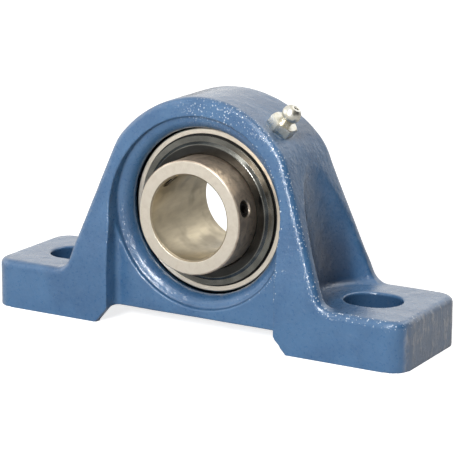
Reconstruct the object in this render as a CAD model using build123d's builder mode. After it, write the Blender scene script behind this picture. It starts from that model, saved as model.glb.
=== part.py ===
from build123d import *
import os
from math import acos, cos, radians, sin, sqrt, tan

# Pillow block bearing, in millimetres.
# The base stands on Z = 0, X runs along the base and the shaft runs along Y.
# The front is the -Y side, where the inner ring reaches furthest out of the casting.

os.makedirs("parts", exist_ok=True)

# Shaft line
centre_height = 42.9
shaft_diameter = 30.0

# Cast housing: base
bolt_spacing = 121.0
foot_end_distance = 22.0
base_depth = 45.0
foot_height = 17.5
foot_corner_radius = 7.0
foot_blend_radius = 6.5
outer_edge_radius = 2.3
slot_width = 17.5
slot_length = 20.8
slot_rim_radius = 0.4

# Cast housing: arch, flanks and tapered faces
arch_wall = 9.65
arch_blend_radius = 20.0
flank_angle = 20.6
flank_inset = 1.15
face_bend_rise = 5.9
face_bend_radius = 60.0
crown_depth = 28.0

# Cast housing: recesses in the front and back faces
recess_radius = 34.2
recess_floor_depth = 19.0
recess_floor_radius = 4.6
pillar_spacing = 67.4
web_depth = 31.2
web_corner_radius = 2.0

# Cast housing: relief below
underside_gap_height = 5.5
underside_bevel = 4.6
underside_rim = 3.0
underside_corner_radius = 4.0
slot_wall = 5.0

# Cast housing: scoops that give a spanner room above each bolt slot
scoop_foot_radius = 20.3
scoop_draft_angle = 6.4
scoop_blend_radius = 3.4

# Spherical seat
seat_diameter = 62.0
seat_clearance = 0.05
seat_mouth_diameter = 59.2
loading_clearance = 0.3

# Insert bearing: rings
outer_ring_width = 17.0
outer_ring_corner = 1.0
outer_shoulder_radius = 26.4
seal_seat_radius = 27.25
seal_seat_depth = 1.2
inner_ring_diameter = 40.3
inner_ring_front_reach = 22.2
inner_ring_back_reach = 15.9
inner_ring_corner = 0.5
bore_corner = 0.6

# Insert bearing: balls and raceways
ball_count = 9
ball_diameter = 9.525
ball_pitch_diameter = 46.0
ball_clearance = 0.02
raceway_conformity = 0.515

# Insert bearing: riveted ribbon cage
cage_sheet = 0.9
cage_width = 3.6
cage_pocket_clearance = 0.3
cage_trim = 1.0
rivet_diameter = 1.6
rivet_head_diameter = 2.6
rivet_head_height = 0.5
rivet_clearance = 0.03

# Insert bearing: seals and slingers
seal_sheet = 0.5
seal_case_width = 4.8
seal_lip_clearance = 0.05
seal_lip_thickness = 0.5
seal_lip_overlap = 2.0
seal_lip_edge = 0.4
seal_lip_reach = 0.9
slinger_sheet = 0.6
slinger_edge_clearance = 0.65
slinger_seal_clearance = 1.3
slinger_rim_width = 2.05
slinger_ramp_width = 1.1
slinger_step = 1.0
slinger_bend_radius = 0.4
slinger_collar_length = 1.8

# Set screws
set_screw_angles = (13.5, 133.5)
set_screw_diameter = 5.8
set_screw_clearance = 0.1
set_screw_length = 4.0
set_screw_retraction = 0.5
set_screw_edge_distance = 5.0
set_screw_countersink = 0.4
set_screw_bevel = 0.5
set_screw_socket = 3.0
set_screw_socket_depth = 2.2
set_screw_cup_diameter = 3.4
set_screw_cup_depth = 0.9

# Grease nipple and the passage below it
nipple_angle = 50.4
nipple_offset = 4.7
nipple_seat_drop = 0.35
nipple_hex = 9.0
nipple_hex_height = 3.6
nipple_hex_bevel_angle = 30.0
nipple_shank_diameter = 6.0
nipple_shank_length = 5.5
nipple_shank_clearance = 0.05
nipple_neck_diameter = 4.6
nipple_head_diameter = 6.7
nipple_head_height = 7.05
nipple_tip_diameter = 3.2
nipple_bore_diameter = 2.7
nipple_entry_diameter = 1.8
nipple_foot_lip = 0.6
nipple_foot_hole_diameter = 1.6
nipple_tip_wall = 1.0
check_ball_diameter = 2.4
check_ball_clearance = 0.02
spring_wire = 0.32
spring_turns = 5
spring_side_clearance = 0.24
spring_end_clearance = 0.02
spot_face_clearance = 0.5
spot_face_height = 4.0
grease_drill_diameter = 2.5
grease_drill_relief = 1.0
grease_groove_width = 2.2
grease_groove_depth = 0.5
ring_grease_hole_diameter = 1.6

# Values that follow from the sizes above
half_base = base_depth / 2
base_length = bolt_spacing + 2 * foot_end_distance
shaft_radius = shaft_diameter / 2
seat_radius = seat_diameter / 2
arch_radius = seat_radius + arch_wall
half_ring = outer_ring_width / 2
inner_ring_radius = inner_ring_diameter / 2
ball_radius = ball_diameter / 2
pitch_radius = ball_pitch_diameter / 2
raceway_radius = raceway_conformity * ball_diameter
bearing_centre = (0, 0, centre_height)
bearing_axis = Axis(bearing_centre, (0, 1, 0))

# In the section plane, X is the radius from the shaft line and Y runs along the shaft.
section_plane = Plane.XY.offset(centre_height)

# The bearing plane looks at the front of the bearing, with its Z towards the viewer.
bearing_plane = Plane(origin=bearing_centre, x_dir=(1, 0, 0), z_dir=(0, -1, 0))


def radial_plane(angle, distance, along):
    """A plane that faces away from the shaft line, at a distance from it."""
    outward = (cos(radians(angle)), 0, sin(radians(angle)))
    origin = (outward[0] * distance, along, centre_height + outward[2] * distance)
    return Plane(origin=origin, x_dir=(0, 1, 0), z_dir=outward)


def finish(piece, name):
    """Label a finished piece and write it to its own file."""
    piece.label = name
    export_step(piece, f"parts/{name}.step")


# Cast housing: the outer form of the recess, the web pocket and the scoop, as cutters
crown_height = centre_height + arch_radius
face_bend_height = foot_height + face_bend_rise
recess_floor = recess_floor_depth / 2
recess_reach = half_base + 1

with BuildPart() as recess:
    with BuildSketch(section_plane):
        with BuildLine():
            Polyline(
                (0, -recess_reach),
                (0, -recess_floor),
                (recess_radius - recess_floor_radius, -recess_floor),
            )
            RadiusArc(
                (recess_radius - recess_floor_radius, -recess_floor),
                (recess_radius, -recess_floor - recess_floor_radius),
                -recess_floor_radius,
            )
            Polyline(
                (recess_radius, -recess_floor - recess_floor_radius),
                (recess_radius, -recess_reach),
                (0, -recess_reach),
            )
        make_face()
    revolve(axis=bearing_axis)

pocket_cut_depth = recess_reach - web_depth / 2

with BuildPart() as web_pocket:
    with BuildSketch(Plane.XY.offset(-1)):
        with Locations((0, -recess_reach + pocket_cut_depth / 2)):
            Rectangle(pillar_spacing, pocket_cut_depth)
    extrude(amount=centre_height + 1)
    inner_corners = web_pocket.edges().filter_by(Axis.Z).group_by(Axis.Y)[-1]
    fillet(inner_corners, radius=web_corner_radius)

scoop_height = crown_height - foot_height
scoop_top_radius = scoop_foot_radius + scoop_height * tan(radians(scoop_draft_angle))

with BuildPart(Plane((bolt_spacing / 2, 0, foot_height))) as scoop:
    Cone(
        scoop_foot_radius,
        scoop_top_radius,
        scoop_height,
        align=(Align.CENTER, Align.CENTER, Align.MIN),
    )
    fillet(scoop.faces().sort_by(Axis.Z)[0].edges(), radius=scoop_blend_radius)

# Cast housing: one profile along the length, one across it and one plan, cut with the recesses
flank_distance = arch_radius - flank_inset
arch_end_angle = radians(flank_angle) + acos(flank_distance / arch_radius)
arch_end = (
    arch_radius * cos(arch_end_angle),
    centre_height + arch_radius * sin(arch_end_angle),
)
flank_foot = arch_end[0] + (arch_end[1] - foot_height) * tan(radians(flank_angle))
half_length = base_length / 2
gap_foot = pillar_spacing / 2 + underside_bevel
relief_length = bolt_spacing - slot_length - 2 * slot_wall
relief_depth = base_depth - 2 * underside_rim

with BuildPart() as housing:
    with BuildSketch(Plane.XZ) as long_profile:
        with BuildLine():
            right = Polyline(
                (0, 0),
                (half_length, 0),
                (half_length, foot_height),
                (flank_foot, foot_height),
                arch_end,
            )
            ThreePointArc(arch_end, (0, crown_height), (-arch_end[0], arch_end[1]))
            mirror(right, about=Plane.YZ)
        make_face()
        arch_corners = long_profile.vertices().filter_by(
            lambda v: abs(abs(v.X) - arch_end[0]) < 0.01
        )
        fillet(arch_corners, radius=arch_blend_radius)
        flank_corners = long_profile.vertices().filter_by(
            lambda v: abs(abs(v.X) - flank_foot) < 0.01
        )
        fillet(flank_corners, radius=foot_blend_radius)
    extrude(amount=half_base, both=True)

    # The front and back faces stand upright, then lean in towards the crown.
    with BuildSketch(Plane.YZ) as cross_profile:
        with BuildLine():
            side = Polyline(
                (0, 0),
                (half_base, 0),
                (half_base, face_bend_height),
                (crown_depth / 2, crown_height),
                (0, crown_height),
            )
            mirror(side, about=Plane.YZ)
        make_face()
        bend_corners = cross_profile.vertices().filter_by(
            lambda v: abs(v.Y - face_bend_height) < 0.01
        )
        fillet(bend_corners, radius=face_bend_radius)
    extrude(amount=half_length, both=True, mode=Mode.INTERSECT)

    with BuildSketch(Plane.XY):
        RectangleRounded(base_length, base_depth, foot_corner_radius)
    extrude(amount=crown_height, mode=Mode.INTERSECT)

    # Round every edge between the top surfaces and the sides.
    top_edges = housing.edges().filter_by_position(Axis.Z, foot_height - 0.1, crown_height + 0.1)
    inner_reach = half_length - 1
    seams = top_edges.filter_by(Axis.Y).filter_by_position(Axis.X, -inner_reach, inner_reach)
    creases = top_edges.filter_by(Axis.X).filter_by_position(Axis.X, -1, 1)
    fillet(top_edges - seams - creases, radius=outer_edge_radius)

    # Each face has a round recess, and below it a web set back between two pillars.
    add(recess.part, mode=Mode.SUBTRACT)
    mirror(recess.part, about=Plane.XZ, mode=Mode.SUBTRACT)
    add(web_pocket.part, mode=Mode.SUBTRACT)
    mirror(web_pocket.part, about=Plane.XZ, mode=Mode.SUBTRACT)

    # A scoop over each bolt slot leaves a rim of the flank in front and behind.
    add(scoop.part, mode=Mode.SUBTRACT)
    mirror(scoop.part, about=Plane.YZ, mode=Mode.SUBTRACT)

    # The underside clears the mounting surface between the two feet.
    with BuildSketch(Plane.XZ):
        with BuildLine():
            Polyline(
                (-gap_foot, 0),
                (-pillar_spacing / 2, underside_gap_height),
                (pillar_spacing / 2, underside_gap_height),
                (gap_foot, 0),
                close=True,
            )
        make_face()
    extrude(amount=half_base, both=True, mode=Mode.SUBTRACT)
    with BuildSketch(Plane.XY):
        RectangleRounded(relief_length, relief_depth, underside_corner_radius)
    extrude(amount=underside_gap_height, mode=Mode.SUBTRACT)

    # One slot in each foot, with a rounded rim.
    with BuildSketch(Plane.XY.offset(foot_height)):
        with GridLocations(bolt_spacing, 0, 2, 1):
            SlotOverall(slot_length, slot_width)
    extrude(amount=-foot_height, mode=Mode.SUBTRACT)
    slot_rims = housing.edges(Select.LAST).group_by(Axis.Z)[-1]
    fillet(slot_rims, radius=slot_rim_radius)

    # The seat is part of a sphere, so the insert can line itself up with the shaft.
    with BuildSketch(bearing_plane):
        Circle(seat_mouth_diameter / 2)
    extrude(amount=half_base, both=True, mode=Mode.SUBTRACT)
    with Locations(bearing_centre):
        Sphere(seat_radius + seat_clearance, mode=Mode.SUBTRACT)

    # Two notches in the back let the insert in sideways, before it is turned into line.
    with BuildSketch(bearing_plane):
        Circle(seat_radius + seat_clearance)
        Rectangle(2 * seat_diameter, outer_ring_width + 2 * loading_clearance, mode=Mode.INTERSECT)
    extrude(amount=-half_base, mode=Mode.SUBTRACT)

    # Spot face, tapped hole and drilled passage for the grease nipple.
    nipple_seat = arch_radius - nipple_seat_drop
    nipple_plane = radial_plane(nipple_angle, nipple_seat, -nipple_offset)
    nipple_corner_radius = nipple_hex / 2 / cos(radians(30))
    with BuildSketch(nipple_plane):
        Circle(nipple_corner_radius + spot_face_clearance)
    extrude(amount=spot_face_height, mode=Mode.SUBTRACT)
    with BuildSketch(nipple_plane):
        Circle(nipple_shank_diameter / 2 + nipple_shank_clearance)
    extrude(amount=-nipple_shank_length - grease_drill_relief, mode=Mode.SUBTRACT)
    with BuildSketch(nipple_plane):
        Circle(grease_drill_diameter / 2)
    extrude(amount=seat_radius - ball_radius - nipple_seat, mode=Mode.SUBTRACT)

finish(housing.part, "housing")

# Grease nipple: the axis of the section runs out along the nipple
nipple_outward = nipple_plane.z_dir
nipple_section = Plane(
    origin=nipple_plane.origin,
    x_dir=(0, 1, 0),
    z_dir=Vector(0, 1, 0).cross(nipple_outward),
)
nipple_axis = Axis(nipple_plane.origin, nipple_outward)
head_radius = nipple_head_diameter / 2
tip_radius = nipple_tip_diameter / 2
neck_radius = nipple_neck_diameter / 2
bore_radius = nipple_bore_diameter / 2
neck_top = nipple_head_height - sqrt(head_radius**2 - neck_radius**2)
head_top = nipple_head_height + sqrt(head_radius**2 - tip_radius**2)
bore_top = head_top - nipple_tip_wall
bore_foot = nipple_foot_lip - nipple_shank_length

with BuildPart() as grease_nipple_body:
    # Hexagon with its top corners turned off
    with BuildSketch(nipple_plane):
        RegularPolygon(nipple_hex / 2, 6, major_radius=False)
    extrude(amount=nipple_hex_height)
    bevel = (nipple_corner_radius - nipple_hex / 2) * tan(radians(nipple_hex_bevel_angle))
    with BuildSketch(nipple_section):
        with BuildLine():
            Polyline(
                (0, 0),
                (nipple_corner_radius, 0),
                (nipple_corner_radius, nipple_hex_height - bevel),
                (nipple_hex / 2, nipple_hex_height),
                (0, nipple_hex_height),
                close=True,
            )
        make_face()
    revolve(axis=nipple_axis, mode=Mode.INTERSECT)

    # Shank, neck and ball head
    with BuildSketch(nipple_section):
        with BuildLine():
            Polyline(
                (0, head_top),
                (0, -nipple_shank_length),
                (nipple_shank_diameter / 2, -nipple_shank_length),
                (nipple_shank_diameter / 2, 0),
                (neck_radius, 0),
                (neck_radius, neck_top),
            )
            ThreePointArc(
                (neck_radius, neck_top),
                (head_radius, nipple_head_height),
                (tip_radius, head_top),
            )
            Line((tip_radius, head_top), (0, head_top))
        make_face()
    revolve(axis=nipple_axis)

    # Bore for the ball and spring, closed by a rolled lip at the foot
    with BuildSketch(nipple_section):
        with BuildLine():
            Polyline(
                (0, head_top),
                (nipple_entry_diameter / 2, head_top),
                (nipple_entry_diameter / 2, bore_top),
                (bore_radius, bore_top),
                (bore_radius, bore_foot),
                (nipple_foot_hole_diameter / 2, bore_foot),
                (nipple_foot_hole_diameter / 2, -nipple_shank_length),
                (0, -nipple_shank_length),
                close=True,
            )
        make_face()
    revolve(axis=nipple_axis, mode=Mode.SUBTRACT)

finish(grease_nipple_body.part, "grease_nipple_body")

check_radius = check_ball_diameter / 2
entry_depth = sqrt(check_radius**2 - (nipple_entry_diameter / 2) ** 2)
check_height = bore_top - entry_depth - check_ball_clearance

with BuildPart(nipple_plane.offset(check_height)) as nipple_check_ball:
    Sphere(check_radius)

finish(nipple_check_ball.part, "nipple_check_ball")

spring_radius = bore_radius - spring_wire / 2 - spring_side_clearance
ball_to_wire = check_radius + spring_wire / 2 + spring_end_clearance
spring_top = check_height - sqrt(ball_to_wire**2 - spring_radius**2)
spring_foot = bore_foot + spring_wire / 2 + spring_end_clearance
spring_height = spring_top - spring_foot

coil_foot = nipple_plane.offset(spring_foot).origin

with BuildPart() as nipple_spring:
    with BuildLine() as coil:
        Helix(
            spring_height / spring_turns,
            spring_height,
            spring_radius,
            center=coil_foot,
            direction=nipple_outward,
        )
    with BuildSketch(Plane(coil.line @ 0, z_dir=coil.line % 0)):
        Circle(spring_wire / 2)
    sweep(is_frenet=True)

finish(nipple_spring.part, "nipple_spring")

# Outer ring: a spherical outside, one raceway, and a seat for a seal at each end
shoulder_end = half_ring - seal_seat_depth
raceway_bottom = pitch_radius + ball_radius + ball_clearance

with BuildPart() as outer_ring:
    with BuildSketch(section_plane) as ring_section:
        Circle(seat_radius)
        with Locations((seat_radius, 0)):
            Rectangle(2 * (seat_radius - outer_shoulder_radius), outer_ring_width, mode=Mode.INTERSECT)
        with Locations((raceway_bottom - raceway_radius, 0)):
            Circle(raceway_radius, mode=Mode.SUBTRACT)
        with Locations((0, half_ring), (0, -half_ring)):
            Rectangle(2 * seal_seat_radius, 2 * seal_seat_depth, mode=Mode.SUBTRACT)
        outer_corners = ring_section.vertices().filter_by(
            lambda v: v.X > seal_seat_radius + 0.1 and abs(v.Y) > shoulder_end
        )
        chamfer(outer_corners, length=outer_ring_corner)
    revolve(axis=bearing_axis)

    # Grease enters through a groove round the outside and one drilled hole.
    with BuildSketch(section_plane):
        with Locations((seat_radius, -nipple_offset)):
            Rectangle(2 * grease_groove_depth, grease_groove_width)
    revolve(axis=bearing_axis, mode=Mode.SUBTRACT)
    with BuildSketch(nipple_plane):
        Circle(ring_grease_hole_diameter / 2)
    extrude(amount=pitch_radius - nipple_seat, mode=Mode.SUBTRACT)

finish(outer_ring.part, "outer_ring")

# Inner ring: wide, with its set screws in the longer end
ring_length = inner_ring_front_reach + inner_ring_back_reach
ring_middle = (inner_ring_back_reach - inner_ring_front_reach) / 2
screw_along = -inner_ring_front_reach + set_screw_edge_distance

with BuildPart() as inner_ring:
    with BuildSketch(section_plane) as ring_section:
        with Locations(((shaft_radius + inner_ring_radius) / 2, ring_middle)):
            Rectangle(inner_ring_radius - shaft_radius, ring_length)
        inner_ends = ring_section.vertices().group_by(Axis.X)[0]
        outer_ends = ring_section.vertices().group_by(Axis.X)[-1]
        chamfer(inner_ends, length=bore_corner)
        chamfer(outer_ends, length=inner_ring_corner)
        with Locations((pitch_radius - ball_radius - ball_clearance + raceway_radius, 0)):
            Circle(raceway_radius, mode=Mode.SUBTRACT)
    revolve(axis=bearing_axis)

    # Each set screw has a hole through the ring, countersunk outside.
    for angle in set_screw_angles:
        with BuildSketch(radial_plane(angle, shaft_radius - 1, screw_along)):
            Circle(set_screw_diameter / 2 + set_screw_clearance)
        extrude(amount=inner_ring_radius - shaft_radius + 2, mode=Mode.SUBTRACT)
        with BuildSketch(radial_plane(angle, inner_ring_radius, screw_along)):
            Circle(set_screw_diameter / 2 + set_screw_clearance + set_screw_countersink)
        extrude(amount=-set_screw_countersink, taper=45, mode=Mode.SUBTRACT)

finish(inner_ring.part, "inner_ring")

# Set screws: a socket outside and a cup point towards the shaft
for number, angle in enumerate(set_screw_angles, start=1):
    screw_point = radial_plane(angle, shaft_radius + set_screw_retraction, screw_along)
    screw_head = screw_point.offset(set_screw_length)
    with BuildPart() as set_screw:
        with BuildSketch(screw_point):
            Circle(set_screw_diameter / 2)
        extrude(amount=set_screw_length)
        chamfer(set_screw.edges().filter_by(GeomType.CIRCLE), length=set_screw_bevel)
        with BuildSketch(screw_head):
            RegularPolygon(set_screw_socket / 2, 6, major_radius=False)
        extrude(amount=-set_screw_socket_depth, mode=Mode.SUBTRACT)
        with BuildSketch(screw_point):
            Circle(set_screw_cup_diameter / 2)
        extrude(amount=set_screw_cup_depth, taper=45, mode=Mode.SUBTRACT)
    finish(set_screw.part, f"set_screw_{number}")

# Balls: the first stands at the top, clear of the ends of the cage's rivet row
ball_step = 360 / ball_count

for number in range(1, ball_count + 1):
    angle = 90 + (number - 1) * ball_step
    with BuildPart(radial_plane(angle, pitch_radius, 0)) as ball:
        Sphere(ball_radius)
    finish(ball.part, f"ball_{number}")

# Cage: two pressed ribbons that meet between the balls and are riveted there
pocket_radius = ball_radius + cage_pocket_clearance
dome_radius = pocket_radius + cage_sheet
cage_inner = pitch_radius - cage_width / 2
cage_outer = pitch_radius + cage_width / 2

with BuildPart(bearing_plane) as cage_front_half:
    with BuildSketch(bearing_plane):
        Circle(cage_outer + cage_trim)
        Circle(cage_inner - cage_trim, mode=Mode.SUBTRACT)
    extrude(amount=cage_sheet)
    with PolarLocations(pitch_radius, ball_count, start_angle=90):
        Sphere(dome_radius)
    with PolarLocations(pitch_radius, ball_count, start_angle=90):
        Sphere(pocket_radius, mode=Mode.SUBTRACT)
    with BuildSketch(bearing_plane):
        Circle(cage_outer)
        Circle(cage_inner, mode=Mode.SUBTRACT)
    extrude(amount=dome_radius, mode=Mode.INTERSECT)
    with PolarLocations(pitch_radius, ball_count, start_angle=90 + ball_step / 2):
        Hole(rivet_diameter / 2 + rivet_clearance)

finish(cage_front_half.part, "cage_front_half")

with BuildPart() as cage_back_half:
    mirror(cage_front_half.part, about=Plane.XZ)

finish(cage_back_half.part, "cage_back_half")

with BuildPart(bearing_plane) as cage_rivets:
    with PolarLocations(pitch_radius, ball_count, start_angle=90 + ball_step / 2):
        Cylinder(rivet_diameter / 2, 2 * cage_sheet)
    for side in (1, -1):
        with BuildSketch(bearing_plane.offset(side * cage_sheet)):
            with PolarLocations(pitch_radius, ball_count, start_angle=90 + ball_step / 2):
                Circle(rivet_head_diameter / 2)
        extrude(amount=side * rivet_head_height)

finish(cage_rivets.part, "cage_rivets")

# Seals: a steel case pressed into the outer ring, with a rubber lip bonded to its inner edge
case_inner = seal_seat_radius - seal_case_width
lip_inner = inner_ring_radius + seal_lip_clearance
seal_outside = shoulder_end + seal_sheet

with BuildPart() as back_seal_case:
    with BuildSketch(section_plane):
        with Locations(((case_inner + seal_seat_radius) / 2, shoulder_end + seal_sheet / 2)):
            Rectangle(seal_case_width, seal_sheet)
    revolve(axis=bearing_axis)

with BuildPart() as back_seal_lip:
    with BuildSketch(section_plane):
        with BuildLine():
            Polyline(
                (lip_inner, shoulder_end - seal_lip_thickness),
                (case_inner + seal_lip_overlap, shoulder_end - seal_lip_thickness),
                (case_inner + seal_lip_overlap, shoulder_end),
                (case_inner, shoulder_end),
                (case_inner, seal_outside),
                (lip_inner + 2 * seal_lip_edge, seal_outside),
                (lip_inner + seal_lip_edge, shoulder_end + seal_lip_reach),
                (lip_inner, shoulder_end + seal_lip_reach),
                close=True,
            )
        make_face()
    revolve(axis=bearing_axis)

# Slingers: stamped discs pressed on the inner ring, outside the seals
rim_radius = seal_seat_radius - slinger_edge_clearance
rim_along = seal_outside + slinger_seal_clearance + slinger_sheet / 2
crest_along = rim_along + slinger_step
collar_radius = inner_ring_radius + slinger_sheet / 2
ramp_foot = rim_radius - slinger_rim_width
ramp_head = ramp_foot - slinger_ramp_width

with BuildPart() as back_slinger:
    with BuildSketch(section_plane):
        with BuildLine():
            FilletPolyline(
                (rim_radius, rim_along),
                (ramp_foot, rim_along),
                (ramp_head, crest_along),
                (collar_radius, crest_along),
                (collar_radius, crest_along - slinger_collar_length),
                radius=slinger_bend_radius,
            )
        trace(line_width=slinger_sheet)
    revolve(axis=bearing_axis)

with BuildPart() as front_seal_case:
    mirror(back_seal_case.part, about=Plane.XZ)

with BuildPart() as front_seal_lip:
    mirror(back_seal_lip.part, about=Plane.XZ)

with BuildPart() as front_slinger:
    mirror(back_slinger.part, about=Plane.XZ)

finish(back_seal_case.part, "back_seal_case")
finish(back_seal_lip.part, "back_seal_lip")
finish(back_slinger.part, "back_slinger")
finish(front_seal_case.part, "front_seal_case")
finish(front_seal_lip.part, "front_seal_lip")
finish(front_slinger.part, "front_slinger")
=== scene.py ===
from math import cos, radians, sin

import bpy
import numpy as np
from mathutils import Matrix, Vector, noise


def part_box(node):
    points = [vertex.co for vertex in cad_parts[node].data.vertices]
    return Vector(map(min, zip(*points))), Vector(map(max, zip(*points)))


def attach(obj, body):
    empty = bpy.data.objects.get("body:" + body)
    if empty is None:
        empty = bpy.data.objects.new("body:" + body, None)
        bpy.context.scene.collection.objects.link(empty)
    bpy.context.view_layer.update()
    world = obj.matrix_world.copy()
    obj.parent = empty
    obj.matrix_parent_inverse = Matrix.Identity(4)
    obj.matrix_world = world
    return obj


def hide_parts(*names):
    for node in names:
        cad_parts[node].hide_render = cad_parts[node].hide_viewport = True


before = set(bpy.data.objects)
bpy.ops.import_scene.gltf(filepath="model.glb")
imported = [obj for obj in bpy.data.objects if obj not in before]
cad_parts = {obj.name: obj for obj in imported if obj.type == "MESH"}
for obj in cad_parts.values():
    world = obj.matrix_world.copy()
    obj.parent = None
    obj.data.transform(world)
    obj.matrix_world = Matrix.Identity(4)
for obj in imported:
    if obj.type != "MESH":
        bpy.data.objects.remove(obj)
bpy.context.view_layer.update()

# Lengths are in metres, in the frame of the solids: X along the base, Y along the shaft, Z up.
MM = 0.001

# Sizes and places read from the solids
ring_low, ring_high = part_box("outer_ring")
inner_low, inner_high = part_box("inner_ring")
housing_low, housing_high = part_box("housing")
shaft_line = Vector((0, 0, (ring_low.z + ring_high.z) / 2))
seat_radius = (ring_high.x - ring_low.x) / 2
inner_radius = (inner_high.x - inner_low.x) / 2
base_end = housing_high.x

# Sizes of the solids that no box gives: the bore, the outer ring's flat face, the feet and their bolt slots
BORE_RADIUS = 15 * MM
RING_FACE_RADIUS = 28.8 * MM
FOOT_TOP = 17.5 * MM
SLOT_PLACE = 60.5 * MM


# Camera: the photograph is 455 pixels square and was taken from the front, to the right and above.
# Angles are in degrees.
PHOTO_PIXELS = 455
FOCAL_PIXELS = 2143.3
SENSOR_WIDTH = 36.0
CAMERA_AZIMUTH = 29.915
CAMERA_ELEVATION = 13.972
CAMERA_ROLL = 0.4135
CAMERA_DISTANCE = 754.26 * MM
CAMERA_ASIDE = 2.38 * MM
CAMERA_BELOW = 7.741 * MM
CAMERA_NEAR = 10 * MM


def make_camera():
    azimuth, elevation, roll = (radians(a) for a in (CAMERA_AZIMUTH, CAMERA_ELEVATION, CAMERA_ROLL))
    back = Vector((sin(azimuth) * cos(elevation), -cos(azimuth) * cos(elevation), sin(elevation)))
    level = Vector((cos(azimuth), sin(azimuth), 0))
    upright = back.cross(level)
    right = cos(roll) * level + sin(roll) * upright
    up = cos(roll) * upright - sin(roll) * level
    place = shaft_line + CAMERA_DISTANCE * back + CAMERA_ASIDE * right - CAMERA_BELOW * up
    data = bpy.data.cameras.new("camera")
    data.sensor_width = SENSOR_WIDTH
    data.lens = FOCAL_PIXELS / PHOTO_PIXELS * SENSOR_WIDTH
    data.clip_start = CAMERA_NEAR
    camera = bpy.data.objects.new("camera", data)
    camera.matrix_world = Matrix.Translation(place) @ Matrix((right, up, back)).transposed().to_4x4()
    bpy.context.scene.collection.objects.link(camera)
    bpy.context.scene.camera = camera


# Studio: a white world that is dark on the right, soft boxes and a pale floor
WHITE = (1, 1, 1, 1)
WORLD_FILL = 0.24
WORLD_SEEN = 1.0
WORLD_REFLECTED = 0.95
WORLD_RIGHT = (0.2, 0.85)
WORLD_RIGHT_SHARE = 0.08
FLOOR_REACH = 1.6
FLOOR_DROP = 0.05 * MM
FLOOR_COLOUR = (0.72, 0.72, 0.72, 1)
FLOOR_ROUGHNESS = 0.9
FLOOR_GLOW = 0.80

# Each soft box has a name, a place, a width, a height and a power, and faces the middle of the part.
LIGHT_TARGET = Vector((0, 0, 40 * MM))
SOFT_BOXES = (
    ("key", (0.14, -1.18, 0.60), 0.36, 0.26, 12.5),
    ("left_fill", (-1.30, -0.45, 0.55), 1.2, 0.9, 3.0),
    ("overhead", (0.10, -0.62, 0.90), 0.55, 0.16, 1.5),
    ("back_fill", (0.55, 0.80, 1.25), 1.0, 0.8, 4.5),
)


def make_world():
    world = bpy.data.worlds.new("studio")
    bpy.context.scene.world = world
    world.use_nodes = True
    nodes, links = world.node_tree.nodes, world.node_tree.links
    background = nodes["Background"]
    background.inputs["Color"].default_value = WHITE

    # Reflections see a brighter world than the one that lights the part.
    rays = nodes.new("ShaderNodeLightPath")
    mirrored = nodes.new("ShaderNodeMath")
    mirrored.operation = "MAXIMUM"
    links.new(rays.outputs["Is Glossy Ray"], mirrored.inputs[0])
    links.new(rays.outputs["Is Transmission Ray"], mirrored.inputs[1])
    reflected = nodes.new("ShaderNodeMapRange")
    reflected.inputs["To Min"].default_value = WORLD_FILL
    reflected.inputs["To Max"].default_value = WORLD_REFLECTED
    links.new(mirrored.outputs[0], reflected.inputs["Value"])

    # The right-hand side of the studio is dark.
    direction = nodes.new("ShaderNodeSeparateXYZ")
    links.new(nodes.new("ShaderNodeTexCoord").outputs["Generated"], direction.inputs[0])
    side = nodes.new("ShaderNodeMapRange")
    side.interpolation_type = "SMOOTHSTEP"
    for socket, number in zip(side.inputs[1:5], (*WORLD_RIGHT, 1.0, WORLD_RIGHT_SHARE)):
        socket.default_value = number
    links.new(direction.outputs["X"], side.inputs["Value"])
    shaded = nodes.new("ShaderNodeMath")
    shaded.operation = "MULTIPLY"
    links.new(reflected.outputs[0], shaded.inputs[0])
    links.new(side.outputs[0], shaded.inputs[1])

    # Behind the part, the camera sees plain white.
    seen = nodes.new("ShaderNodeMix")
    seen.inputs[3].default_value = WORLD_SEEN
    links.new(rays.outputs["Is Camera Ray"], seen.inputs[0])
    links.new(shaded.outputs[0], seen.inputs[2])
    links.new(seen.outputs[0], background.inputs["Strength"])


def make_soft_box(name, place, width, height, power):
    data = bpy.data.lights.new(name, "AREA")
    data.shape = "RECTANGLE"
    data.size = width
    data.size_y = height
    data.energy = power
    light = bpy.data.objects.new(name, data)
    light.location = place
    light.rotation_euler = (LIGHT_TARGET - Vector(place)).to_track_quat("-Z", "Y").to_euler()
    bpy.context.scene.collection.objects.link(light)


def make_floor():
    mesh = bpy.data.meshes.new("floor")
    r = FLOOR_REACH
    mesh.from_pydata([(-r, -r, 0), (r, -r, 0), (r, r, 0), (-r, r, 0)], [], [(0, 1, 2, 3)])
    floor = bpy.data.objects.new("floor", mesh)
    floor.location.z = -FLOOR_DROP
    bpy.context.scene.collection.objects.link(floor)
    material = bpy.data.materials.new("floor_paper")
    material.use_nodes = True
    nodes, links = material.node_tree.nodes, material.node_tree.links
    surface = nodes["Principled BSDF"]
    surface.inputs["Base Color"].default_value = FLOOR_COLOUR
    surface.inputs["Roughness"].default_value = FLOOR_ROUGHNESS
    surface.inputs["Specular IOR Level"].default_value = 0.0
    surface.inputs["Emission Color"].default_value = WHITE

    # A glow that only the camera sees makes the lit floor white and keeps the shadow.
    rays = nodes.new("ShaderNodeLightPath")
    glow = nodes.new("ShaderNodeMath")
    glow.operation = "MULTIPLY"
    glow.inputs[1].default_value = FLOOR_GLOW
    links.new(rays.outputs["Is Camera Ray"], glow.inputs[0])
    links.new(glow.outputs[0], surface.inputs["Emission Strength"])
    mesh.materials.append(material)


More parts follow.
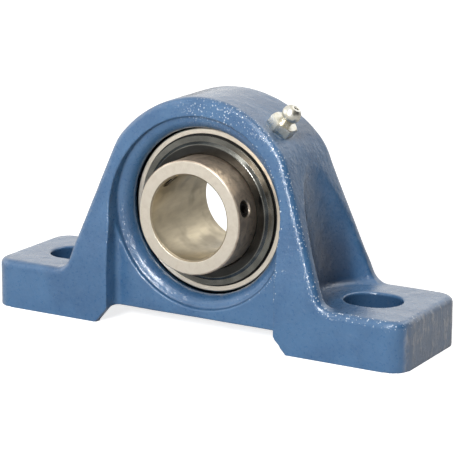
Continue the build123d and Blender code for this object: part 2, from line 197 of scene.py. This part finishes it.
class Finish:
    """One node material. Most methods add nodes and give their output socket."""

    def __init__(self, name, **plain):
        self.material = bpy.data.materials.new(name)
        self.material.use_nodes = True
        self.nodes = self.material.node_tree.nodes
        self.links = self.material.node_tree.links
        self.surface = self.nodes["Principled BSDF"]
        self.place = self.nodes.new("ShaderNodeTexCoord").outputs["Object"]
        for socket, value in plain.items():
            self.surface.inputs[socket.replace("_", " ")].default_value = value

    def feed(self, socket, value):
        if isinstance(value, bpy.types.NodeSocket):
            self.links.new(value, socket)
        else:
            socket.default_value = value

    def math(self, operation, *values):
        node = self.nodes.new("ShaderNodeMath")
        node.operation = operation
        for socket, value in zip(node.inputs, values):
            self.feed(socket, value)
        return node.outputs[0]

    def product(self, first, *others):
        result = first
        for other in others:
            result = self.math("MULTIPLY", result, other)
        return result

    def vector(self, operation, *values):
        node = self.nodes.new("ShaderNodeVectorMath")
        node.operation = operation
        for socket, value in zip(node.inputs, values):
            self.feed(socket, value)
        return node.outputs["Value" if operation == "LENGTH" else "Vector"]

    def axes(self, place=None):
        node = self.nodes.new("ShaderNodeSeparateXYZ")
        self.feed(node.inputs[0], place or self.place)
        return node.outputs

    def point(self, x, y, z):
        node = self.nodes.new("ShaderNodeCombineXYZ")
        for socket, value in zip(node.inputs, (x, y, z)):
            self.feed(socket, value)
        return node.outputs[0]

    def noise(self, size, place=None, detail=2.0, roughness=0.5, distortion=0.0):
        node = self.nodes.new("ShaderNodeTexNoise")
        self.feed(node.inputs["Vector"], place or self.place)
        node.inputs["Scale"].default_value = 1 / size
        node.inputs["Detail"].default_value = detail
        node.inputs["Roughness"].default_value = roughness
        node.inputs["Distortion"].default_value = distortion
        return node.outputs["Fac"]

    def noise_vector(self, size):
        node = self.nodes.new("ShaderNodeTexNoise")
        self.feed(node.inputs["Vector"], self.place)
        node.inputs["Scale"].default_value = 1 / size
        return node.outputs["Color"]

    def cells(self, size, place):
        node = self.nodes.new("ShaderNodeTexVoronoi")
        self.feed(node.inputs["Vector"], place)
        node.inputs["Scale"].default_value = 1 / size
        return node.outputs["Distance"]

    def step(self, value, low, high, least=0.0, most=1.0):
        """A smooth change from least to most while the value goes from low to high. Noise lies round 0.5."""
        node = self.nodes.new("ShaderNodeMapRange")
        node.interpolation_type = "SMOOTHSTEP"
        self.feed(node.inputs["Value"], value)
        for socket, number in zip(node.inputs[1:5], (low, high, least, most)):
            socket.default_value = number
        return node.outputs[0]

    def outside(self, radius, edge, fade):
        """0 within the edge and 1 past it. The fade's two ends are measured from the edge."""
        return self.step(radius, edge + fade[0], edge + fade[1])

    def within(self, radius, edge, fade, most=1.0):
        return self.step(radius, edge + fade[0], edge + fade[1], most, 0)

    def mix(self, share, first, second):
        node = self.nodes.new("ShaderNodeMix")
        node.data_type = "RGBA"
        self.feed(node.inputs[0], share)
        self.feed(node.inputs[6], first)
        self.feed(node.inputs[7], second)
        return node.outputs[2]

    def stored(self, name):
        node = self.nodes.new("ShaderNodeAttribute")
        node.attribute_name = name
        return node.outputs["Fac"]

    def pointiness(self):
        return self.nodes.new("ShaderNodeNewGeometry").outputs["Pointiness"]

    def soft_edges(self, radius):
        node = self.nodes.new("ShaderNodeBevel")
        node.samples = 4
        node.inputs["Radius"].default_value = radius
        return node.outputs[0]

    def bump(self, height, depth, before=None):
        node = self.nodes.new("ShaderNodeBump")
        node.inputs["Distance"].default_value = depth
        self.feed(node.inputs["Height"], height)
        if before is not None:
            self.feed(node.inputs["Normal"], before)
        return node.outputs[0]

    def from_shaft(self):
        """The place measured from the shaft line."""
        return self.vector("SUBTRACT", self.place, tuple(shaft_line))

    def finish(self, **sockets):
        for socket, value in sockets.items():
            self.feed(self.surface.inputs[socket.replace("_", " ")], value)
        return self.material


PAINT_DEEP = (0.037, 0.114, 0.246, 1)
PAINT_LIGHT = (0.057, 0.154, 0.306, 1)
PAINT_PALE = (0.105, 0.205, 0.345, 1)
# Painted shade for creases, slots and scoops
PAINTED_SHADE = (0.020, 0.050, 0.110, 1)
PAINT_THIN = (0.180, 0.270, 0.380, 1)
# Painted highlight: pale points that stand in for glints
PAINT_GLINT = (0.780, 0.860, 0.940, 1)
PAINT_SCUFFED = (0.150, 0.190, 0.260, 1)
PAINT_BARE = (0.290, 0.320, 0.380, 1)

# Where the painted glints, the painted shade and the marks begin and where they are whole: along X, Y and Z,
# from a slot's middle and from the base's end
CROWN_X, CROWN_Y, CROWN_Z = (-14 * MM, 4 * MM), (-10 * MM, -16 * MM), (68 * MM, 80 * MM)
EDGE_X, EDGE_Y, EDGE_Z = (2 * MM, 12 * MM), (-6 * MM, -12 * MM), (12 * MM, 15 * MM)
SCOOP_X, SCOOP_Y, SCOOP_TOP_Z = (24 * MM, 32 * MM), (16.5 * MM, 12 * MM), (58 * MM, 26 * MM)
SCOOP_FOOT_Z = (FOOT_TOP + 0.1 * MM, FOOT_TOP + 1.7 * MM)
SLOT_RADIUS, SLOT_Z = (11.5 * MM, 10.5 * MM), (FOOT_TOP - 0.2 * MM, FOOT_TOP - 1.2 * MM)
END_FADE = (-1.6 * MM, -0.4 * MM)

# How strongly the painted glints, the painted shade and the marks show, and how the glint points and the
# streaks lie
CROWN_SHARE = 0.8
SCOOP_SHADE = 0.75
SLOT_SHADE = 0.65
SCUFFED_SHARE = 0.55
SCUFFED_ROUGHNESS = 0.2
GLINT_SPACING = 0.9 * MM
GLINT_SHIFT = (0.6 * MM,) * 3
STREAK_STRETCH = 0.32


def painted_glints(paint, x, y, z):
    """Painted highlights: bright points of colour on the casting's stored edges and on the crown of the arch,
    standing in for glints of light on grains of sand.
    """
    crown = paint.product(
        paint.step(z, *CROWN_Z),
        paint.step(y, *CROWN_Y),
        paint.step(x, *CROWN_X, 0, CROWN_SHARE),
    )
    on_edge = paint.product(
        paint.stored("edge"),
        paint.step(x, *EDGE_X),
        paint.step(y, *EDGE_Y),
        paint.step(z, *EDGE_Z),
    )
    glint_spots = paint.math("MAXIMUM", on_edge, crown)
    shift = paint.vector("MULTIPLY", paint.noise_vector(0.7 * MM), GLINT_SHIFT)
    crooked = paint.vector("ADD", paint.place, shift)
    point = paint.step(paint.cells(GLINT_SPACING, crooked), 0.16, 0.38, 1, 0)
    kept = paint.step(paint.noise(1.5 * MM, detail=3, roughness=0.7), 0.46, 0.52)
    return paint.product(point, kept, glint_spots)


def painted_shade_in_hollows(paint, x, y, z):
    """Painted shade: the paint is darker in the bolt slots and low in the scoops, where shade falls."""
    off_middle = paint.math("ABSOLUTE", x)
    in_scoop = paint.product(
        paint.step(z, *SCOOP_TOP_Z),
        paint.step(z, *SCOOP_FOOT_Z),
        paint.step(paint.math("ABSOLUTE", y), *SCOOP_Y),
        paint.step(off_middle, *SCOOP_X),
    )
    off_slot = paint.vector("LENGTH", paint.point(paint.math("SUBTRACT", off_middle, SLOT_PLACE), y, 0.0))
    in_slot = paint.product(paint.step(off_slot, *SLOT_RADIUS), paint.step(z, *SLOT_Z))
    return paint.math("MAXIMUM", paint.product(in_scoop, SCOOP_SHADE), paint.product(in_slot, SLOT_SHADE))


def drag_marks(paint, x, y, z):
    """Broken streaks that run down the ends of the base."""
    lengthwise = paint.point(x, y, paint.product(z, STREAK_STRETCH))
    streak = paint.noise(2.2 * MM, lengthwise, detail=5, roughness=0.6)
    broken = paint.noise(3.5 * MM, detail=4, roughness=0.6)
    return paint.product(paint.step(streak, 0.42, 0.66), paint.step(broken, 0.35, 0.6))


def blue_paint():
    """Glossy enamel on a sand casting: orange peel, grains, thin edges and drag marks on the ends, with
    painted glints on the edges and the crown and painted shade in creases, slots and scoops.
    """
    paint = Finish("blue_paint", Coat_Roughness=0.05, Coat_Weight=1.0, Specular_IOR_Level=0.45)
    x, y, z = paint.axes()
    broad = paint.noise(16 * MM, detail=3)
    mottle = paint.noise(1.1 * MM, detail=4, roughness=0.65)
    ridge = paint.pointiness()
    at_end = paint.outside(paint.math("ABSOLUTE", x), base_end, END_FADE)
    worn = paint.product(drag_marks(paint, x, y, z), at_end)

    colour = paint.mix(paint.step(broad, 0.3, 0.7), PAINT_DEEP, PAINT_LIGHT)
    colour = paint.mix(paint.step(mottle, 0.45, 0.75, 0, 0.25), colour, PAINT_PALE)
    # Painted shade: darker in concave creases
    colour = paint.mix(paint.step(ridge, 0.50, 0.44, 0, 0.65), colour, PAINTED_SHADE)
    colour = paint.mix(paint.step(ridge, 0.53, 0.60, 0, 0.25), colour, PAINT_THIN)
    # Painted glints on the edges and on the crown of the arch
    colour = paint.mix(painted_glints(paint, x, y, z), colour, PAINT_GLINT)
    # Painted shade in the bolt slots and low in the scoops
    colour = paint.mix(painted_shade_in_hollows(paint, x, y, z), colour, PAINTED_SHADE)
    colour = paint.mix(paint.product(at_end, SCUFFED_SHARE), colour, PAINT_SCUFFED)
    colour = paint.mix(worn, colour, PAINT_BARE)

    rough = paint.step(mottle, 0.3, 0.8, 0.26, 0.42)
    rough = paint.math("ADD", rough, paint.product(at_end, SCUFFED_ROUGHNESS))
    peel = paint.noise(1.7 * MM, detail=2)
    grain = paint.noise(1.25 * MM, detail=3, roughness=0.55)
    patches = paint.step(paint.noise(6 * MM, detail=2), 0.35, 0.65, 0.35, 1.0)
    surface = paint.bump(peel, 0.08 * MM)
    surface = paint.bump(mottle, 0.05 * MM, surface)
    surface = paint.bump(worn, 0.30 * MM, surface)
    film = paint.bump(paint.product(grain, patches), 0.45 * MM, surface)
    return paint.finish(Base_Color=colour, Roughness=rough, Normal=surface, Coat_Normal=film)


FACE_LIGHT = (0.92, 0.84, 0.71, 1)
FACE_DARK = (0.62, 0.53, 0.41, 1)
BORE_LIGHT = (0.61, 0.53, 0.38, 1)
BORE_DARK = (0.37, 0.31, 0.22, 1)
BORE_STAIN = (0.26, 0.22, 0.16, 1)
OUTSIDE_LIGHT = (0.72, 0.59, 0.46, 1)
OUTSIDE_DARK = (0.44, 0.35, 0.27, 1)
# Painted shade for the gap round the outer ring
GAP_PAINTED_SHADE = (0.010, 0.009, 0.008, 1)

# Fades measured from the bore, from the inner ring's outside and from the outer ring's face
BORE_FADE = (0.05 * MM, 0.20 * MM)
CORNER_START, CORNER_END = (0.05 * MM, 0.15 * MM), (0.45 * MM, 0.60 * MM)
OUTSIDE_START, OUTSIDE_END = (-0.45 * MM, -0.25 * MM), (0.2 * MM, 1.0 * MM)
GAP_FADE = (0.15 * MM, 0.45 * MM)

# What the corner and the outside add in roughness, what the outside loses in metal, and how the honing lies
CORNER_ROUGHNESS = 0.35
OUTSIDE_ROUGHNESS = 0.12
OUTSIDE_METAL_LOSS = 0.1
HONING_STRETCH = 0.25


def ring_steel():
    """Ground faces, a honed bore with stains, a browned outside on the ring that holds the screws, and
    painted shade, near black, on the outer ring's corner by the gap.
    """
    steel = Finish("ring_steel", Metallic=1.0)
    centred = steel.from_shaft()
    x, y, z = steel.axes(centred)
    radius = steel.vector("LENGTH", steel.point(x, 0.0, z))
    rings = steel.noise(0.12 * MM, steel.point(radius, y, 0.0), detail=3, roughness=0.7)
    cloud = steel.noise(3.2 * MM, centred, detail=5, roughness=0.62, distortion=0.4)
    speck = steel.noise(0.5 * MM, centred, detail=3, roughness=0.7)
    lengthwise = steel.point(x, steel.product(y, HONING_STRETCH), z)
    along = steel.noise(1.6 * MM, lengthwise, detail=3, roughness=0.5)
    stain = steel.noise(9 * MM, centred, detail=2, roughness=0.5)

    in_bore = steel.within(radius, BORE_RADIUS, BORE_FADE)
    on_corner = steel.product(
        steel.outside(radius, BORE_RADIUS, CORNER_START),
        steel.within(radius, BORE_RADIUS, CORNER_END),
    )
    on_outside = steel.product(
        steel.outside(radius, inner_radius, OUTSIDE_START),
        steel.within(radius, inner_radius, OUTSIDE_END),
    )
    # Painted shade: near black on the outer ring's corner, where it runs into the shaded gap by the seat
    in_gap = steel.outside(radius, RING_FACE_RADIUS, GAP_FADE)

    face = steel.mix(steel.step(cloud, 0.38, 0.72, 0, 0.30), FACE_LIGHT, FACE_DARK)
    bore = steel.mix(steel.step(along, 0.35, 0.70, 0, 0.30), BORE_LIGHT, BORE_DARK)
    bore = steel.mix(steel.step(stain, 0.45, 0.70, 0, 0.65), bore, BORE_STAIN)
    outside = steel.mix(steel.step(cloud, 0.35, 0.70), OUTSIDE_LIGHT, OUTSIDE_DARK)
    colour = steel.mix(in_bore, face, bore)
    colour = steel.mix(on_outside, colour, outside)
    colour = steel.mix(steel.step(speck, 0.62, 0.80, 0, 0.25), colour, FACE_DARK)
    colour = steel.mix(in_gap, colour, GAP_PAINTED_SHADE)
    colour = steel.mix(on_corner, colour, BORE_DARK)

    rough = steel.step(rings, 0.3, 0.7, 0.27, 0.36)
    rough = steel.math("ADD", rough, steel.step(cloud, 0.4, 0.8, 0, 0.10))
    rough = steel.math("ADD", rough, steel.product(on_corner, CORNER_ROUGHNESS))
    rough = steel.math("ADD", rough, steel.product(on_outside, OUTSIDE_ROUGHNESS))
    metal = steel.math("SUBTRACT", 1.0, steel.product(on_outside, OUTSIDE_METAL_LOSS))
    surface = steel.bump(rings, 0.004 * MM, steel.soft_edges(0.15 * MM))
    surface = steel.bump(speck, 0.006 * MM, surface)
    return steel.finish(Base_Color=colour, Roughness=rough, Metallic=metal, Normal=surface)


SLINGER_LIGHT = (0.205, 0.203, 0.180, 1)
SLINGER_DARK = (0.138, 0.137, 0.121, 1)
SLINGER_COLLAR = (0.018, 0.018, 0.018, 1)
SLINGER_COLLAR_RADIUS = 23.4 * MM
SLINGER_COLLAR_FADE = (-0.1 * MM, 0.3 * MM)
SLINGER_COLLAR_SHARE = 0.85


def slinger_steel():
    """Stamped sheet: drawing lines round the shaft, shallow dents, and darker near the inner ring."""
    sheet = Finish("slinger_steel", Metallic=0.85)
    centred = sheet.from_shaft()
    x, y, z = sheet.axes(centred)
    radius = sheet.vector("LENGTH", sheet.point(x, 0.0, z))
    lines = sheet.noise(0.22 * MM, sheet.point(radius, y, 0.0), detail=2)
    cloud = sheet.noise(4 * MM, centred, detail=4)
    near_ring = sheet.within(radius, SLINGER_COLLAR_RADIUS, SLINGER_COLLAR_FADE, SLINGER_COLLAR_SHARE)
    colour = sheet.mix(sheet.step(cloud, 0.35, 0.7), SLINGER_DARK, SLINGER_LIGHT)
    colour = sheet.mix(near_ring, colour, SLINGER_COLLAR)
    surface = sheet.bump(lines, 0.004 * MM, sheet.soft_edges(0.10 * MM))
    surface = sheet.bump(cloud, 0.02 * MM, surface)
    return sheet.finish(Base_Color=colour, Roughness=sheet.step(cloud, 0.3, 0.7, 0.15, 0.27), Normal=surface)


RUBBER_BLACK = (0.010, 0.010, 0.010, 1)
RUBBER_WORN = (0.022, 0.021, 0.020, 1)


def moulded_rubber():
    rubber = Finish("seal_rubber", Specular_IOR_Level=0.35)
    pores = rubber.noise(0.25 * MM, detail=3)
    cloud = rubber.noise(3 * MM, detail=3)
    colour = rubber.mix(rubber.step(cloud, 0.3, 0.7), RUBBER_BLACK, RUBBER_WORN)
    surface = rubber.bump(pores, 0.010 * MM, rubber.soft_edges(0.1 * MM))
    return rubber.finish(Base_Color=colour, Roughness=rubber.step(pores, 0.3, 0.7, 0.5, 0.68), Normal=surface)


OXIDE_BLACK = (0.018, 0.015, 0.013, 1)
OXIDE_BROWN = (0.060, 0.050, 0.042, 1)


def black_oxide():
    oxide = Finish("screw_steel", Metallic=0.7)
    cloud = oxide.noise(0.9 * MM, detail=4, roughness=0.65)
    rub = oxide.noise(0.3 * MM, detail=2)
    colour = oxide.mix(oxide.step(cloud, 0.35, 0.75), OXIDE_BLACK, OXIDE_BROWN)
    surface = oxide.bump(rub, 0.008 * MM, oxide.soft_edges(0.12 * MM))
    return oxide.finish(Base_Color=colour, Roughness=oxide.step(cloud, 0.3, 0.8, 0.25, 0.5), Normal=surface)


ZINC_BRIGHT = (0.84, 0.83, 0.77, 1)
ZINC_YELLOW = (0.70, 0.66, 0.54, 1)


def zinc_plate():
    """Bright zinc with a faint yellow passivation and the small dents of a barrel-plated fitting."""
    zinc = Finish("zinc_plate", Metallic=1.0)
    dents = zinc.noise(0.9 * MM, detail=3, roughness=0.6)
    bloom = zinc.noise(2.2 * MM, detail=4, roughness=0.6)
    colour = zinc.mix(zinc.step(bloom, 0.35, 0.7), ZINC_BRIGHT, ZINC_YELLOW)
    surface = zinc.bump(dents, 0.02 * MM, zinc.soft_edges(0.18 * MM))
    return zinc.finish(Base_Color=colour, Roughness=zinc.step(bloom, 0.3, 0.75, 0.24, 0.38), Normal=surface)


BALL_COLOUR = (0.75, 0.75, 0.76, 1)
CAGE_COLOUR = (0.55, 0.54, 0.52, 1)
SPRING_COLOUR = (0.50, 0.50, 0.50, 1)


def bright_steel(name, colour, roughness, grain):
    """Plain steel with a faint haze, for the pieces that are held inside."""
    steel = Finish(name, Metallic=1.0)
    haze = steel.noise(2 * MM, detail=3)
    fine = steel.noise(grain, detail=2)
    darker = tuple(0.7 * part for part in colour[:3]) + (1,)
    tint = steel.mix(steel.step(haze, 0.3, 0.75, 0, 0.3), colour, darker)
    rough = steel.step(haze, 0.3, 0.7, roughness, roughness + 0.08)
    return steel.finish(Base_Color=tint, Roughness=rough, Normal=steel.bump(fine, 0.003 * MM))


# The casting: the solid's own form with the rounded edges and the uneven skin of a painted casting
CASTING_VOXEL = 0.45 * MM
RELAX_SHARE = 0.5
EDGE_PASSES = 1
PROBE_PASSES = 6
EDGE_SUNK = (0.015 * MM, 0.035 * MM)
SCOOP_PASSES = 40
SCOOP_BEHIND = (-10 * MM, -2 * MM)
SCOOP_ASIDE = (33 * MM, 37 * MM)
SCOOP_ABOVE = (24 * MM, 30 * MM)
SKIN_WAVES = ((14 * MM, 0.060 * MM), (4.5 * MM, 0.032 * MM), (1.7 * MM, 0.030 * MM))
SEAT_SKIN = 0.12 * MM
FLAT_UNDERSIDE = 0.45 * MM
FACING_DOWN = -0.7


def even_copy(name, source):
    """A copy of a solid with its points evenly spread, so that they can be moved."""
    draft = bpy.data.objects.new(name, source.data.copy())
    bpy.context.scene.collection.objects.link(draft)
    remesh = draft.modifiers.new("even_mesh", "REMESH")
    remesh.mode = "VOXEL"
    remesh.voxel_size = CASTING_VOXEL
    made = bpy.data.meshes.new_from_object(draft.evaluated_get(bpy.context.evaluated_depsgraph_get()))
    made.name = name
    draft.modifiers.clear()
    draft.data = made
    return draft


def read_points(mesh, field):
    values = np.empty(3 * len(mesh.vertices))
    mesh.vertices.foreach_get(field, values)
    return values.reshape(-1, 3)


def ramp(values, low, high):
    share = np.clip((values - low) / (high - low), 0, 1)
    return share * share * (3 - 2 * share)


def relax(mesh, spots, share, passes):
    """Move each point towards the middle of its neighbours."""
    ends = np.empty(2 * len(mesh.edges), np.int32)
    mesh.edges.foreach_get("vertices", ends)
    first, second = ends.reshape(-1, 2).T
    count = len(spots)
    neighbours = np.bincount(ends, minlength=count)
    for _ in range(passes):
        for axis in range(3):
            line = spots[:, axis]
            total = np.bincount(first, line[second], count) + np.bincount(second, line[first], count)
            spots[:, axis] = line + share * (total / neighbours - line)


def mark_edges(mesh, spots, normals):
    """Store which points lie on an outward edge: those that sink most when the mesh is relaxed."""
    probe = spots.copy()
    relax(mesh, probe, RELAX_SHARE, PROBE_PASSES)
    sunk = np.einsum("ij,ij->i", spots - probe, normals)
    edge = mesh.attributes.new("edge", "FLOAT", "POINT")
    edge.data.foreach_set("value", ramp(sunk, *EDGE_SUNK).astype(np.float32))


def skin_rise(spots):
    """The height of the uneven skin, in waves of a few sizes."""
    rise = np.zeros(len(spots))
    for size, height in SKIN_WAVES:
        rise += height * np.array([noise.noise(Vector(spot) / size) for spot in spots])
    return rise


def clear_seat(spots):
    """Keep the spherical seat clear of the insert, which turns in it."""
    centre = np.array(shaft_line)
    from_centre = spots - centre
    distance = np.linalg.norm(from_centre, axis=1)
    in_seat = distance < seat_radius + SEAT_SKIN
    outward = from_centre[in_seat] / distance[in_seat][:, None]
    spots[in_seat] = centre + (seat_radius + SEAT_SKIN) * outward


def make_casting(material):
    casting = even_copy("casting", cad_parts["housing"])
    mesh = casting.data
    spots = read_points(mesh, "co")
    normals = read_points(mesh, "normal")
    on_underside = (spots[:, 2] < FLAT_UNDERSIDE) & (normals[:, 2] < FACING_DOWN)

    # Every edge is a little round, and the scoops run out softly into the flanks behind them.
    behind = ramp(spots[:, 1], *SCOOP_BEHIND)
    aside = ramp(np.abs(spots[:, 0]), *SCOOP_ASIDE)
    above = ramp(spots[:, 2], *SCOOP_ABOVE)
    mark_edges(mesh, spots, normals)
    relax(mesh, spots, RELAX_SHARE, EDGE_PASSES)
    relax(mesh, spots, RELAX_SHARE * behind * aside * above, SCOOP_PASSES)

    # The underside stays flat, and nothing reaches past the solid's box.
    rise = skin_rise(spots)
    rise[on_underside] = 0
    spots += normals * rise[:, None]
    spots[on_underside, 2] = 0
    clear_seat(spots)
    spots = np.clip(spots, np.array(housing_low), np.array(housing_high))

    mesh.vertices.foreach_set("co", spots.ravel())
    mesh.polygons.foreach_set("use_smooth", np.ones(len(mesh.polygons), bool))
    mesh.materials.clear()
    mesh.materials.append(material)
    mesh.update()
    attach(casting, "housing")
    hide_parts("housing")


def dress(names, material):
    for name in names:
        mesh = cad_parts[name].data
        mesh.materials.clear()
        mesh.materials.append(material)


make_camera()
make_world()
for soft_box in SOFT_BOXES:
    make_soft_box(*soft_box)
make_floor()

painted = blue_paint()
balls = [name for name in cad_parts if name.startswith("ball_")] + ["nipple_check_ball"]
dress(["housing"], painted)
dress(["outer_ring", "inner_ring"], ring_steel())
dress(["front_slinger", "back_slinger"], slinger_steel())
dress(["front_seal_case", "back_seal_case", "front_seal_lip", "back_seal_lip"], moulded_rubber())
dress(["set_screw_1", "set_screw_2"], black_oxide())
dress(["grease_nipple_body"], zinc_plate())
dress(balls, bright_steel("ball_steel", BALL_COLOUR, roughness=0.08, grain=0.1 * MM))
dress(
    ["cage_front_half", "cage_back_half", "cage_rivets"],
    bright_steel("cage_steel", CAGE_COLOUR, roughness=0.30, grain=0.2 * MM),
)
dress(["nipple_spring"], bright_steel("spring_steel", SPRING_COLOUR, roughness=0.25, grain=0.1 * MM))

make_casting(painted)

view = bpy.context.scene.view_settings
view.view_transform = "Standard"
